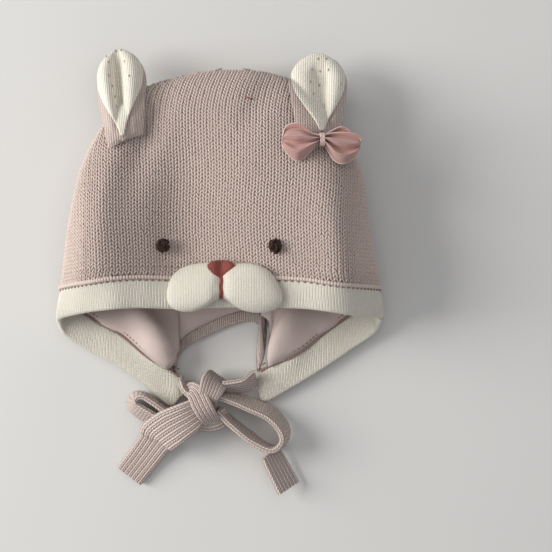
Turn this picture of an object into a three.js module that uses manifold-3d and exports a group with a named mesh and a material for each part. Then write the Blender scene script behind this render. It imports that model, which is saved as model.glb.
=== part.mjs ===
// A knitted baby hat with two ears, a padded snout and chin ties in a bow, lying on its back.
// Millimetres. +Z is up from the surface it rests on, +Y runs from the neck to the crown.
import * as THREE from 'three';
import { mergeVertices } from 'three/addons/utils/BufferGeometryUtils.js';
import Module from 'manifold-3d';

// ---- driving dimensions ----
const KNIT_THICK = 2.0;        // outer knitted shell
const LINING_THICK = 1.0;      // jersey lining
const LINING_SPACE = 0.8;      // air between shell and lining
const GAP = 0.4;               // air kept between two pieces
const BAND_WIDTH = 15.0;       // folded rib band round the face
const BAND_THICK = 4.2;
const HEM_WIDTH = 4.8;         // hem along the neck
const HEM_THICK = 3.8;
const EAR_THICK = 1.8;
const TIE_THICK = 3.6;
const CROWN_RINGS = 11;        // rings of facets from the crown's pole to the band
const BAND_STEPS = 3;
const BAND_ROUNDING = 0.5;     // how far the folded edge is rounded off
const SQUARENESS = 0.8;        // below 1 the cross-section fills its corners
const TOP_SQUARENESS = 0.55;   // the same for the height of the top sheet
const FLAT_BACK_FROM = 40;     // degrees below the side line where the back lies flat

// ---- finishes ----
const finish = (color, roughness) => new THREE.MeshStandardMaterial({ color, roughness, metalness: 0 });
const TAUPE = () => finish(0xc8b4aa, 0.92);
const CREAM = () => finish(0xf0ebdc, 0.92);
const JERSEY = () => finish(0xd2beb6, 0.85);
const DUSTY_RED = () => finish(0xa5554f, 0.6);
const DARK_BROWN = () => finish(0x2d1c14, 0.55);
const PINK = () => finish(0xc89691, 0.7);

// ---- small tools ----
const V = (x, y, z) => new THREE.Vector3(x, y, z);
const table = (columns, rows) => {
  const names = columns.split(' ');
  return rows.map((row) => Object.fromEntries(row.map((value, i) => [names[i], value])));
};

// Smooth value of one column at a place along another column.
function along(rows, key, at, column) {
  const last = rows.length - 2;
  let i = rows.findIndex((row, k) => k <= last && at <= rows[k + 1][key]);
  if (i < 0) i = last;
  const span = rows[i + 1][key] - rows[i][key];
  const f = THREE.MathUtils.clamp((at - rows[i][key]) / span, 0, 1);
  const slope = (k) => {
    const a = rows[Math.max(k - 1, 0)];
    const b = rows[Math.min(k + 1, rows.length - 1)];
    return (b[column] - a[column]) / (b[key] - a[key]);
  };
  const [p, q] = [rows[i][column], rows[i + 1][column]];
  const [m, n] = [slope(i) * span, slope(i + 1) * span];
  const f2 = f * f;
  const f3 = f2 * f;
  return (2 * f3 - 3 * f2 + 1) * p + (f3 - 2 * f2 + f) * m + (3 * f2 - 2 * f3) * q + (f3 - f2) * n;
}

// Closed solid through a row of rings; a ring of one point is a pole, other end rings get a cap.
// From ring number turnFrom on, the quads are split along their other diagonal, so that the inner
// side of one shell and the outer side of the next keep the same facets.
function loft(rings, turnFrom = Infinity) {
  const position = [];
  const index = [];
  const add = (p) => position.push(p.x, p.y, p.z) / 3 - 1;
  const ids = rings.map((ring) => ring.map(add));
  for (let k = 0; k + 1 < ids.length; k += 1) {
    const [a, b] = [ids[k], ids[k + 1]];
    const n = Math.max(a.length, b.length);
    for (let i = 0; i < n; i += 1) {
      const j = (i + 1) % n;
      const turned = k >= turnFrom && a.length > 1 && b.length > 1;
      if (turned) index.push(a[i], a[j], b[i], a[j], b[j], b[i]);
      if (!turned && a.length > 1) index.push(a[i], a[j], b[b.length > 1 ? j : 0]);
      if (!turned && b.length > 1) index.push(a[a.length > 1 ? i : 0], b[j], b[i]);
    }
  }
  const cap = (ring, points, flip) => {
    if (ring.length < 3) return;
    const middle = points.reduce((sum, p) => sum.add(p), V(0, 0, 0)).divideScalar(points.length);
    const c = add(middle);
    ring.forEach((id, i) => {
      const next = ring[(i + 1) % ring.length];
      index.push(c, flip ? next : id, flip ? id : next);
    });
  };
  cap(ids[0], rings[0], true);
  cap(ids[ids.length - 1], rings[rings.length - 1], false);
  return outward(position, index);
}

// Turns the faces out when the solid came out inside out.
function outward(position, index) {
  const p = (i) => V(...position.slice(3 * i, 3 * i + 3));
  let volume = 0;
  for (let k = 0; k < index.length; k += 3) {
    volume += p(index[k]).dot(p(index[k + 1]).cross(p(index[k + 2])));
  }
  if (volume < 0) {
    for (let k = 0; k < index.length; k += 3) [index[k], index[k + 1]] = [index[k + 1], index[k]];
  }
  const geometry = new THREE.BufferGeometry();
  geometry.setAttribute('position', new THREE.Float32BufferAttribute(position, 3));
  geometry.setIndex(index);
  return geometry;
}

// ---- joining and cutting ----
const wasm = await Module();
wasm.setup();
function toSolid(geometry) {
  const bare = mergeVertices(geometry, 1e-4);
  return new wasm.Manifold(new wasm.Mesh({
    numProp: 3,
    vertProperties: new Float32Array(bare.attributes.position.array),
    triVerts: new Uint32Array(bare.index.array),
  }));
}
function cut(geometry, ...tools) {
  const left = tools.reduce((solid, tool) => solid.subtract(toSolid(tool)), toSolid(geometry));
  const mesh = left.getMesh();
  return outward([...mesh.vertProperties], [...mesh.triVerts]);
}

// ---- the bag of the hat ----
// Stations from the crown's pole (t = 0) to the opening (t = 1): left and right outline, height of
// the top sheet and of the side line where the outline is widest.
const STATIONS = table('t y left right top side', [
  [0.00, 113.5, 6, 6, 17, 17],
  [0.05, 112, -10, 23, 25, 16],
  [0.12, 107.5, -29, 39, 33, 16],
  [0.20, 100, -45, 50, 39, 16],
  [0.30, 89, -59, 60, 45, 17],
  [0.42, 73, -70, 71, 50, 18],
  [0.55, 54, -78, 79.5, 53, 19],
  [0.70, 29, -83, 82.5, 55, 20],
  [0.85, 4, -86, 87, 57, 19],
  [1.00, -20, -90, 91, 57.5, 16],
]);
// Edge of the hat, once round from the right temple: forehead, left cheek, neck, right cheek.
const EDGE = table('u x y z', [
  [0, 92.5, -24, 15],
  [22, 89, -23.5, 27],
  [38, 74.7, -22.3, 46],
  [52, 60.6, -20.4, 52],
  [64, 45, -18.5, 48.5],
  [78, 22, -18, 44],
  [90, 1.5, -18, 40.5],
  [102, -22, -18.2, 40.5],
  [115, -43, -17.8, 46],
  [128, -60, -19, 48.5],
  [142, -76, -21.5, 38],
  [158, -89, -24, 22],
  [180, -92.5, -27, 13],
  [198, -88.5, -34, 6],
  [217, -75, -42.7, 3],
  [226, -64, -48.2, 3],
  [234, -53.4, -54.5, 3],
  [242, -41, -63.5, 3],
  [248, -29, -73.8, 3],
  [252, -24, -69, 3],
  [255, -26.5, -58.5, 2],
  [257.5, -27.5, -50.5, 1],
  [261, -22, -43, 0],
  [265, -11.5, -36.5, 0],
  [270, 3, -29.5, 0],
  [275, 16.5, -26.5, 0],
  [280.5, 26, -33, 0],
  [283.5, 25.5, -43, 1],
  [287, 22.5, -56.2, 2],
  [291.5, 24, -70.9, 3],
  [299, 40, -63.5, 3],
  [308, 56.2, -54, 3],
  [320, 73.2, -42.7, 3],
  [340, 88.5, -32, 7],
  [360, 92.5, -24, 15],
]);
const [TIP_LEFT, NECK_LEFT, NECK_RIGHT, TIP_RIGHT] = [248, 255, 287, 291.5];
const TOP_SIDE = [5, 175];     // degrees round the hat that the dents reach
const BACK_SIDE = [190, 350];  // and that the folds of the back sheet reach
const FLAT_SIDE = [205, 335];  // and where the back sheet faces the table
const DENT_FADE = 8;           // the dents fade out over the last eighth of a meridian
const BACK_FACES_DOWN = 0.7;   // least share of the back sheet's normal that points down
const SEAM_SPARE = 1.0;        // the shell stops this far short of the band and the hem
const HEM_START = 1.3;         // degrees between the band's end and the hem's
const EDGE_PULL = 3;           // how late along a meridian the edge's own shape takes over
// Soft dents (negative) and swellings of the top sheet: middle, half-widths, turn and depth.
const DENTS = table('x y along across turn depth', [
  [-20, 34, 62, 26, 90, -12],
  [-70, 12, 48, 12, 84, 8],
  [66, 12, 46, 18, 97, 9],
  [-44, 66, 34, 10, 72, -3],
  [-36, 84, 20, 6, 70, -3],
  [20, 92, 24, 8, 60, -1.8],
]);
// Folds of the back sheet where the cheek flaps curl up under the lining.
const FOLDS = table('x y along across turn height', [
  [-38, -38, 18, 9, -60, 8],
  [41, -35, 18, 9, 66, 6.5],
]);

const between = (u, [from, to]) => u > from && u < to;

const bell = (x, y, row) => {
  const a = THREE.MathUtils.degToRad(row.turn);
  const p = (x - row.x) * Math.cos(a) + (y - row.y) * Math.sin(a);
  const q = (y - row.y) * Math.cos(a) - (x - row.x) * Math.sin(a);
  return Math.exp(-((p / row.along) ** 2) - (q / row.across) ** 2);
};

function bagSection(u, t) {
  const at = (column) => along(STATIONS, 't', t, column);
  const a = THREE.MathUtils.degToRad(u);
  const across = Math.sign(Math.cos(a)) * Math.abs(Math.cos(a)) ** SQUARENESS;
  const middle = (at('left') + at('right')) / 2;
  const x = middle + ((at('right') - at('left')) / 2) * across;
  const up = Math.sin(a);
  const flat = Math.min(1, -up / Math.sin(THREE.MathUtils.degToRad(FLAT_BACK_FROM)));
  const z = up >= 0
    ? at('side') + (at('top') - at('side')) * up ** TOP_SQUARENESS
    : at('side') * (1 - flat) ** 2;
  return V(x, at('y'), z);
}

function edgePoint(u) {
  return V(...['x', 'y', 'z'].map((column) => along(EDGE, 'u', u, column)));
}

// Outer surface of the hat at a place round it (u, degrees) and down it (t, 0 to 1).
function skinPoint(u, t) {
  const pull = edgePoint(u).sub(bagSection(u, 1)).multiplyScalar(t ** EDGE_PULL);
  const p = bagSection(u, t).add(pull);
  const inland = Math.min(1, (1 - t) * DENT_FADE);
  if (between(u, TOP_SIDE)) DENTS.forEach((row) => { p.z += row.depth * bell(p.x, p.y, row) * inland; });
  if (between(u, BACK_SIDE)) FOLDS.forEach((row) => { p.z += row.height * bell(p.x, p.y, row); });
  p.z = Math.max(p.z, 0);
  return p;
}

function skinNormal(u, t) {
  const [du, dt] = [0.6, 0.012];
  const tt = THREE.MathUtils.clamp(t, 0.03, 1);
  const wrap = (value) => (value + 360) % 360;
  const across = skinPoint(wrap(u + du), tt).sub(skinPoint(wrap(u - du), tt));
  const down = skinPoint(u, Math.min(tt + dt, 1)).sub(skinPoint(u, tt - dt));
  const normal = across.cross(down).normalize();
  if (between(u, FLAT_SIDE)) normal.z = Math.min(normal.z, -BACK_FACES_DOWN);
  return normal.normalize();
}

// The same place moved in from the outer surface by a depth.
function skinInside(u, t, depth) {
  if (t === 0) return bagSection(u, 0).add(V(0, -depth, 0));
  return skinPoint(u, t).addScaledVector(skinNormal(u, t), -depth);
}

// Places round the hat: each stretch of the edge table is divided by its length.
const STEP = 10;               // longest facet along the edge
function placesRound() {
  const places = [];
  for (let i = 0; i + 1 < EDGE.length; i += 1) {
    const [a, b] = [EDGE[i], EDGE[i + 1]];
    const count = Math.max(1, Math.round(Math.hypot(b.x - a.x, b.y - a.y, b.z - a.z) / STEP));
    for (let k = 0; k < count; k += 1) places.push(a.u + ((b.u - a.u) * k) / count);
  }
  return places;
}
const ROUND = placesRound();
const facePlaces = [...ROUND.filter((u) => u >= TIP_RIGHT), ...ROUND.filter((u) => u <= TIP_LEFT)];
const faceEdge = facePlaces.map(edgePoint);
const neckEdge = ROUND.filter((u) => u >= NECK_LEFT && u <= NECK_RIGHT).map(edgePoint);

const reach = (point, line) => {
  let best = Infinity;
  for (let i = 0; i + 1 < line.length; i += 1) {
    const near = new THREE.Line3(line[i], line[i + 1]).closestPointToPoint(point, true, V(0, 0, 0));
    best = Math.min(best, near.distanceTo(point));
  }
  return best;
};

// How far down a meridian a surface may come before it is too near the strips along the edge.
const FACE_STRIP = { edge: faceEdge, width: BAND_WIDTH };
const NECK_STRIP = { edge: neckEdge, width: HEM_WIDTH };
function downTo(u, spare, ...strips) {
  const clear = (t) => {
    const p = skinPoint(u, t);
    return Math.min(...strips.map(({ edge, width }) => reach(p, edge) - width)) - spare;
  };
  let [low, high] = [0.4, 1];
  for (let k = 0; k < 24; k += 1) {
    const middle = (low + high) / 2;
    if (clear(middle) > 0) low = middle;
    else high = middle;
  }
  return low;
}
const SEAM = new Map(ROUND.map((u) => [u, downTo(u, SEAM_SPARE, FACE_STRIP, NECK_STRIP)]));

function shell(fromDepth, toDepth) {
  const ring = (k, depth) => ROUND.map((u) => skinInside(u, (SEAM.get(u) * k) / CROWN_RINGS, depth));
  const pole = (depth) => [skinInside(90, 0, depth)];
  const count = [...Array(CROWN_RINGS).keys()].map((k) => k + 1);
  return loft([
    pole(fromDepth),
    ...count.map((k) => ring(k, fromDepth)),
    ...count.reverse().map((k) => ring(k, toDepth)),
    pole(toDepth),
  ], CROWN_RINGS + 1);
}

// A folded strip along the edge, rounded where the fold is.
function edgeStrip(places, thick, strip) {
  return loft(places.map((u) => {
    const start = downTo(u, 0, strip);
    const steps = [...Array(BAND_STEPS + 1).keys()].map((k) => start + ((1 - start) * k) / BAND_STEPS);
    const outside = steps.map((t) => skinInside(u, t, t === 1 ? BAND_ROUNDING : 0));
    const inside = steps.reverse().map((t) => skinInside(u, t, t === 1 ? thick - BAND_ROUNDING : thick));
    return [...outside, ...inside];
  }));
}

const bandPlaces = [...ROUND.filter((u) => u >= NECK_RIGHT), ...ROUND.filter((u) => u <= NECK_LEFT)];
const hemPlaces = [
  NECK_LEFT + HEM_START,
  ...ROUND.filter((u) => u > NECK_LEFT && u < NECK_RIGHT),
  NECK_RIGHT - HEM_START,
];

// ---- pieces ----
const hat = new THREE.Group();
function piece(name, geometry, material) {
  const mesh = new THREE.Mesh(geometry, material);
  mesh.name = name;
  hat.add(mesh);
  return mesh;
}

piece('crown', shell(0, KNIT_THICK), TAUPE());
piece('lining', shell(KNIT_THICK + LINING_SPACE, KNIT_THICK + LINING_SPACE + LINING_THICK), JERSEY());
piece('brim_band', edgeStrip(bandPlaces, BAND_THICK, FACE_STRIP), CREAM());
piece('neck_hem', edgeStrip(hemPlaces, HEM_THICK, NECK_STRIP), TAUPE());

// ---- what sits on the top sheet ----
// Height of the hat's outer surface above a point of the table, read off the facets.
const topFacets = (() => {
  const rows = [...Array(CROWN_RINGS + 3).keys()];
  const columns = ROUND.filter((u) => u < 186 || u > 354);
  const turned = [...columns.filter((u) => u > 354), ...columns.filter((u) => u < 186)];
  const tAt = (u, k) => (k <= CROWN_RINGS
    ? (SEAM.get(u) * k) / CROWN_RINGS
    : SEAM.get(u) + ((1 - SEAM.get(u)) * (k - CROWN_RINGS)) / 2);
  const grid = rows.map((k) => turned.map((u) => skinInside(u, tAt(u, k), 0)));
  const facets = [];
  for (let k = 0; k + 1 < grid.length; k += 1) {
    for (let i = 0; i + 1 < turned.length; i += 1) {
      const [a, b, c, d] = [grid[k][i], grid[k][i + 1], grid[k + 1][i + 1], grid[k + 1][i]];
      facets.push(new THREE.Triangle(a, b, c), new THREE.Triangle(a, c, d));
    }
  }
  return facets;
})();
function topHeight(x, y) {
  let best = -Infinity;
  topFacets.forEach(({ a, b, c }) => {
    const area = (b.x - a.x) * (c.y - a.y) - (c.x - a.x) * (b.y - a.y);
    if (Math.abs(area) < 1e-9) return;
    const q = ((x - a.x) * (c.y - a.y) - (c.x - a.x) * (y - a.y)) / area;
    const r = ((b.x - a.x) * (y - a.y) - (x - a.x) * (b.y - a.y)) / area;
    if (q < -1e-6 || r < -1e-6 || q + r > 1 + 1e-6) return;
    best = Math.max(best, a.z + q * (b.z - a.z) + r * (c.z - a.z));
  });
  return best;
}
// Past the edge of the top sheet the height goes on as it was at the edge.
function restHeight(x, y, middle) {
  for (let f = 0; f <= 1; f += 0.05) {
    const z = topHeight(x + (middle.x - x) * f, y + (middle.y - y) * f);
    if (z > -Infinity) return z;
  }
  return 0;
}

// A pad of a closed outline laid on the hat, swelling to a height and rounded at its rim.
const RIM_RISE = 0.3;          // share of the height at which the rim is widest
const RIM_INSET = 0.96;
const [FULLNESS, ROUNDNESS] = [2.6, 0.55];
function pad(points, height, lift, shape = () => 1, rings = 4) {
  const curve = new THREE.CatmullRomCurve3(points.map(([x, y]) => V(x, y, 0)), true);
  const rim = curve.getSpacedPoints(points.length * 2).slice(0, -1);
  const middle = rim.reduce((sum, q) => sum.add(q), V(0, 0, 0)).divideScalar(rim.length);
  const place = (q, f, rise) => {
    const at = middle.clone().lerp(q, f);
    return V(at.x, at.y, restHeight(at.x, at.y, middle) + lift + rise * shape(at.x));
  };
  const steps = [...Array(rings).keys()].map((k) => (k + 1) / rings);
  const swell = (f) => height * (1 - f ** FULLNESS) ** ROUNDNESS;
  return loft([
    [place(middle, 0, 0)],
    ...steps.map((f) => rim.map((q) => place(q, f * RIM_INSET, 0))),
    rim.map((q) => place(q, 1, height * RIM_RISE)),
    ...steps.slice(0, -1).reverse().map((f) => rim.map((q) => place(q, f * RIM_INSET, swell(f)))),
    [place(middle, 0, height)],
  ]);
}

const MUZZLE_RISE = 9;
const PAD_LIFT = 0.6;          // air under a pad
const MUZZLE = [
  [1.6, 5.2], [11, 5], [21, 4.2], [28, 0.5], [33, -7], [35, -15], [31, -20], [23.5, -22], [13, -20.5],
  [1.8, -14.5], [-9, -20], [-17, -21.6], [-25, -19.5], [-28, -13], [-26, -3.5], [-20, 2.5], [-10, 5],
];
const NOTCH = { x: 1.8, half: 4, depth: 0.3 };   // valley between the two lobes
const lobes = (x) => 1 - NOTCH.depth * Math.exp(-(((x - NOTCH.x) / NOTCH.half) ** 2));
const muzzle = pad(MUZZLE, MUZZLE_RISE, PAD_LIFT, lobes);
piece('muzzle', muzzle, CREAM());

const NOSE = [[1.8, 6.5], [6, 6.2], [9, 4.2], [7.5, 0.5], [1.8, -4], [-4, 0.5], [-5.5, 4.2], [-2.5, 6.2]];
const NOSE_RISE = 3;
const NOSE_SEAT = 0.78;        // share of the muzzle's height that the nose sits at
const noseRoom = MUZZLE_RISE * NOSE_SEAT + PAD_LIFT + GAP;
const muzzleRoom = muzzle.clone().translate(0, 0, GAP);
piece('nose', cut(pad(NOSE, NOSE_RISE, noseRoom, () => 1, 2), muzzleRoom), DUSTY_RED());

const EYES = table('name x y', [['eye_left', -30.3, 14.5], ['eye_right', 31, 14]]);
const EYE_RADIUS = 4.3;
const EYE_RISE = 2.6;
EYES.forEach(({ name, x, y }) => {
  const turn = [...Array(8).keys()].map((k) => (k * Math.PI) / 4);
  const outline = turn.map((a) => [x + EYE_RADIUS * Math.cos(a), y + EYE_RADIUS * Math.sin(a)]);
  piece(name, pad(outline, EYE_RISE, PAD_LIFT, () => 1, 2), DARK_BROWN());
});

// ---- ears ----
// Each leaf runs from its base to its tip: half-width, height of its two soft rolls, and how much
// of the width the cream front covers.
const EAR_SHAPE = table('v wide cup front', [
  [0, 9.8, 3.2, 0.04],
  [0.12, 11, 4.5, 0.25],
  [0.28, 12.2, 5.2, 0.58],
  [0.48, 13.6, 5.2, 0.84],
  [0.66, 14.2, 4.6, 0.92],
  [0.8, 12.8, 3.6, 0.95],
  [0.91, 9.2, 2.2, 0.95],
  [0.98, 4.2, 0.8, 0.93],
  [1, 1.6, 0.3, 0.9],
]);
// crease is where the fold between the rolls runs, slot how wide it is, end how far up it goes and
// skew how much the foot slants.
const EARS = table('side x y z tipX tipY tipZ wide roll crease slot end skew', [
  ['left', -50, 70.5, 38, -56.5, 123, 17, 0.98, 1.6, -0.12, 0.1, 0.84, 3.2],
  ['right', 54.5, 73, 38, 54.5, 120.5, 19, 1.14, 1, 0.16, 0.15, 0.68, 0],
]);
const EAR_SEAT = 3.2;          // air between the ear's foot and the crown
const EAR_STATIONS = [0, 0.1, 0.2, 0.35, 0.5, 0.65, 0.78, 0.88, 0.95, 0.98, 1];
const EAR_FRONT_STATIONS = EAR_STATIONS.slice(1, -1);
const EAR_FRONT_SPACE = 2.8;   // least room between the two leaves of an ear
const LEAF_ACROSS = 12;

// The crease turns towards the middle on its way up, and the slot opens out.
const creaseAt = (ear, v) => ear.crease * (1 - 0.4 * v);
const slotAt = (ear, v) => ear.slot * (0.35 + 1.3 * v);
const SLOT_CLOSES = 0.22;      // share of the ear's height over which the rolls become one dome

// Height of the two soft rolls, one each side of the crease that runs up from the base.
function earRoll(ear, v, a) {
  const crease = creaseAt(ear, v);
  const slot = slotAt(ear, v);
  const half = a > crease ? 1 - crease : 1 + crease;
  const q = THREE.MathUtils.clamp((Math.abs(a - crease) / half - slot) / (1 - slot), 0, 1);
  const openTop = THREE.MathUtils.clamp((v - ear.end) / SLOT_CLOSES, 0, 1);
  const rolls = Math.max(Math.sin(Math.PI * q ** 0.85), 0) ** 0.7;
  const dome = 0.9 * (1 - Math.abs(a) ** 2.5);
  return rolls * (1 - openTop) + dome * openTop;
}

function leaf(ear, isFront, low, high) {
  const base = V(ear.x, ear.y, ear.z);
  const run = V(ear.tipX, ear.tipY, ear.tipZ).sub(base);
  const forward = run.clone().normalize();
  const side = V(run.y, -run.x, 0).normalize();
  const up = side.clone().cross(run).normalize();
  const places = [...Array(LEAF_ACROSS + 1).keys()].map((k) => (2 * k) / LEAF_ACROSS - 1);
  const point = (v, a, deep) => {
    const wide = ear.wide * along(EAR_SHAPE, 'v', v, 'wide');
    const lift = ear.roll * along(EAR_SHAPE, 'v', v, 'cup') * earRoll(ear, v, a);
    const p = base.clone().addScaledVector(run, v).addScaledVector(side, a * wide);
    p.addScaledVector(up, lift + deep).addScaledVector(forward, ear.skew * a * (1 - v));
    const floor = topHeight(p.x, p.y);
    return V(p.x, p.y, Math.max(p.z, floor + deep + EAR_SEAT));
  };
  return loft((isFront ? EAR_FRONT_STATIONS : EAR_STATIONS).map((v) => {
    const share = isFront ? along(EAR_SHAPE, 'v', v, 'front') : 1;
    const across = places.map((a) => creaseAt(ear, v) * (1 - share) + a * share);
    const upper = across.map((a) => point(v, a, high));
    return [...upper, ...across.slice().reverse().map((a) => point(v, a, low))];
  }));
}
EARS.forEach((ear) => {
  const low = EAR_THICK + EAR_FRONT_SPACE;
  piece(`ear_${ear.side}_back`, leaf(ear, false, 0, EAR_THICK), TAUPE());
  piece(`ear_${ear.side}_front`, leaf(ear, true, low, low + EAR_THICK), CREAM());
});

// ---- straps and bows ----
// A flat strap along a smooth route. roll 0 lies flat and 90 stands on its edge.
const STRAP_ROUNDING = 0.35;   // share of the thickness taken off the long edges
function strap(rows, thick, steps) {
  const route = table('x y z roll width', rows);
  const curve = new THREE.CatmullRomCurve3(route.map((row) => V(row.x, row.y, row.z)));
  const count = route.length - 1;
  const rings = [...Array(steps + 1).keys()].map((k) => {
    const f = k / steps;
    const at = f * count;
    const i = Math.min(Math.floor(at), count - 1);
    const between = (column) => THREE.MathUtils.lerp(route[i][column], route[i + 1][column], at - i);
    const p = curve.getPoint(f);
    const run = curve.getTangent(f);
    const side = V(run.y, -run.x, 0).normalize();
    const up = side.clone().cross(run).normalize();
    const roll = THREE.MathUtils.degToRad(between('roll'));
    const wide = side.clone().multiplyScalar(Math.cos(roll)).addScaledVector(up, Math.sin(roll));
    const deep = wide.clone().cross(run).normalize();
    const half = between('width') / 2;
    const corner = (a, b) => p.clone().addScaledVector(wide, a).addScaledVector(deep, b);
    const soft = thick * STRAP_ROUNDING;
    return [
      corner(-half, -soft),
      corner(-half + soft, -thick / 2),
      corner(half - soft, -thick / 2),
      corner(half, -soft),
      corner(half, soft),
      corner(half - soft, thick / 2),
      corner(-half + soft, thick / 2),
      corner(-half, soft),
    ];
  });
  return loft(rings);
}

const [LUMP_ROUND, LUMP_HIGH] = [14, 9];   // facets of a lump

// A rounded lump: rings of a flattened ball about a middle, turned about Z.
function lump(x, y, z, rx, ry, rz, turn, grow = 0) {
  const geometry = mergeVertices(bare(new THREE.SphereGeometry(1, LUMP_ROUND, LUMP_HIGH)), 1e-4);
  geometry.scale(rx + grow, ry + grow, rz + grow);
  geometry.rotateZ(THREE.MathUtils.degToRad(turn));
  return geometry.translate(x, y, z);
}
function bare(geometry) {
  geometry.deleteAttribute('normal');
  geometry.deleteAttribute('uv');
  return geometry;
}

const KNOT = [-7, -70.5, 12.5, 10, 15.5, 11.5, 18];
const knotRoom = lump(...KNOT, GAP);
piece('tie_knot', lump(...KNOT), TAUPE());
// In the order they lie, topmost first; each is cut clear of the ones named in clearOf.
const TIES = [
  {
    name: 'tie_tail_left',
    steps: 16,
    clearOf: [],
    rows: [
      [-9, -75, 17, 24, 14], [-17, -80.5, 20, 16, 19], [-27, -86.5, 18.5, 8, 22.5],
      [-34.5, -92, 14, 4, 22.5], [-37, -95.5, 7.5, 2, 18.5], [-43.5, -104.5, 4, 0, 17.5],
      [-52, -115.5, 2.3, 0, 17],
    ],
  },
  {
    name: 'tie_loop_left',
    steps: 22,
    clearOf: ['tie_tail_left'],
    rows: [
      [-14, -73, 11, 90, 14], [-24, -76.2, 9.6, 90, 15], [-30.5, -77.8, 9.2, 90, 15],
      [-37, -73.6, 9.2, 90, 15.5], [-43.5, -69.6, 9.2, 92, 15.5], [-48.5, -70.6, 9.2, 104, 15.5],
      [-48.5, -75.5, 9, 118, 15.5], [-41, -81, 8.6, 120, 15.5], [-31, -85.5, 8.2, 118, 14],
      [-19, -82, 8, 108, 12],
    ],
  },
  {
    name: 'tie_loop_right',
    steps: 26,
    clearOf: [],
    rows: [
      [-1, -69.5, 12, 84, 15], [7, -71.2, 11.5, 76, 16], [18, -75, 11, 70, 17],
      [28, -79.5, 10.5, 68, 17], [35, -87, 10.2, 70, 17], [35.8, -95, 10.2, 80, 17],
      [29, -99.6, 10, 92, 17], [17, -93, 10, 100, 17], [5, -83.5, 10.4, 98, 16],
      [-2, -77.5, 11, 92, 15],
    ],
  },
  {
    name: 'tie_tail_right',
    steps: 8,
    clearOf: ['tie_loop_right'],
    rows: [
      [28, -102, 8.4, 40, 15], [32, -109.5, 7.4, 38, 16], [38.5, -122, 6.8, 36, 16.5],
    ],
  },
  {
    name: 'tie_lead_left',
    steps: 8,
    clearOf: ['tie_loop_left'],
    rows: [
      [-20.5, -61.5, 9, 66, 12], [-18.5, -65.5, 10.5, 68, 12.5], [-12.5, -70.5, 12, 72, 13],
    ],
  },
  {
    name: 'tie_lead_right',
    steps: 8,
    clearOf: ['tie_loop_right', 'tie_loop_left'],
    rows: [
      [19.6, -59.4, 9.4, 50, 13], [13, -63.5, 12, 56, 14], [1, -64.5, 13, 66, 14],
    ],
  },
];
const tieRoom = (rows, steps) => {
  const grown = rows.map(([x, y, z, roll, width]) => [x, y, z, roll, width + 2 * GAP]);
  return strap(grown, TIE_THICK + 2 * GAP, steps);
};
TIES.forEach(({ name, steps, clearOf, rows }) => {
  const others = TIES.filter((other) => clearOf.includes(other.name));
  const rooms = others.map((other) => tieRoom(other.rows, other.steps));
  piece(name, cut(strap(rows, TIE_THICK, steps), knotRoom, ...rooms), TAUPE());
});

// ---- the small bow on the right ear ----
const BOW_THICK = 1.6;
const BOW_Z = 54.5;
const WRAP = [55.9, 71, 55.5, 2, 3.8, 4.4, 0];
const wrapRoom = lump(...WRAP, GAP);
// Each half is a flap between an upper and a lower outline, swelling between them by rise.
const BOWS = [
  {
    name: 'bow_left',
    rise: 5,
    upper: [[55, 73.2], [50.6, 74.4], [45.4, 78.6], [41, 79.6], [36.6, 77.6], [34.8, 72.3]],
    lower: [[54.5, 69.5], [51, 66.2], [46.4, 61.6], [42.2, 60], [37, 64.3], [34.6, 69]],
  },
  {
    name: 'bow_right',
    rise: 5,
    upper: [[57, 73.2], [61, 74.2], [66, 74.6], [71.6, 74.2], [76, 72.6], [76.6, 70]],
    lower: [[57, 69.2], [59.4, 65], [62.5, 60.2], [67.5, 58.4], [73, 61.4], [76.2, 66.6]],
  },
];
const BOW_ACROSS = 6;
function flap({ upper, lower, rise }) {
  const share = [...Array(BOW_ACROSS + 1).keys()].map((k) => k / BOW_ACROSS);
  return loft(upper.map(([x, y], k) => {
    const [lowX, lowY] = lower[k];
    const openOut = Math.sin(Math.PI * Math.min(1, 0.12 + (0.88 * k) / (upper.length - 1))) ** 0.6;
    const top = share.map((a) => {
      const z = BOW_Z + rise * Math.sin(Math.PI * a) ** 0.6 * openOut;
      return V(x + (lowX - x) * a, y + (lowY - y) * a, z);
    });
    return [...top, ...top.slice().reverse().map((p) => p.clone().sub(V(0, 0, BOW_THICK)))];
  }));
}
piece('bow_wrap', lump(...WRAP), PINK());
BOWS.forEach((bow) => piece(bow.name, cut(flap(bow), wrapRoom), PINK()));

// The origin is the middle of the hat's footprint.
const LENGTH_MIDDLE = -0.75;
hat.position.y = -LENGTH_MIDDLE;

export default hat;
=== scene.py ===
"""A knitted baby hat with two ears, a padded snout and chin ties in a bow, lying on its back."""
import math

import bpy
import numpy as np
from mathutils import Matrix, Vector
from mathutils.bvhtree import BVHTree


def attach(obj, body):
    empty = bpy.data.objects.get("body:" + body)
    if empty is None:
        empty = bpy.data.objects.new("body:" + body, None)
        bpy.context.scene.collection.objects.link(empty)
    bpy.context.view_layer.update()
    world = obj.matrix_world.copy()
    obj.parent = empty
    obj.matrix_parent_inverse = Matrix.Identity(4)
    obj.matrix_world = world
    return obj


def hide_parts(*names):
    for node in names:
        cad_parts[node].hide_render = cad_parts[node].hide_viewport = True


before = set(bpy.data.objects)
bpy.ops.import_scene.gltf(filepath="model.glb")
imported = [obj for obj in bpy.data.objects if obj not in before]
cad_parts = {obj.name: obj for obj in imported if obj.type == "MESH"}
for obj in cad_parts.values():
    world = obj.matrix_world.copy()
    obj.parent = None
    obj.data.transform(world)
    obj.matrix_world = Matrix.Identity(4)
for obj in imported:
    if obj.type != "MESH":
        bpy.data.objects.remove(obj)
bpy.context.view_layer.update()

MM = 0.001
BODY = "root"
rng = np.random.default_rng(7)

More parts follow.
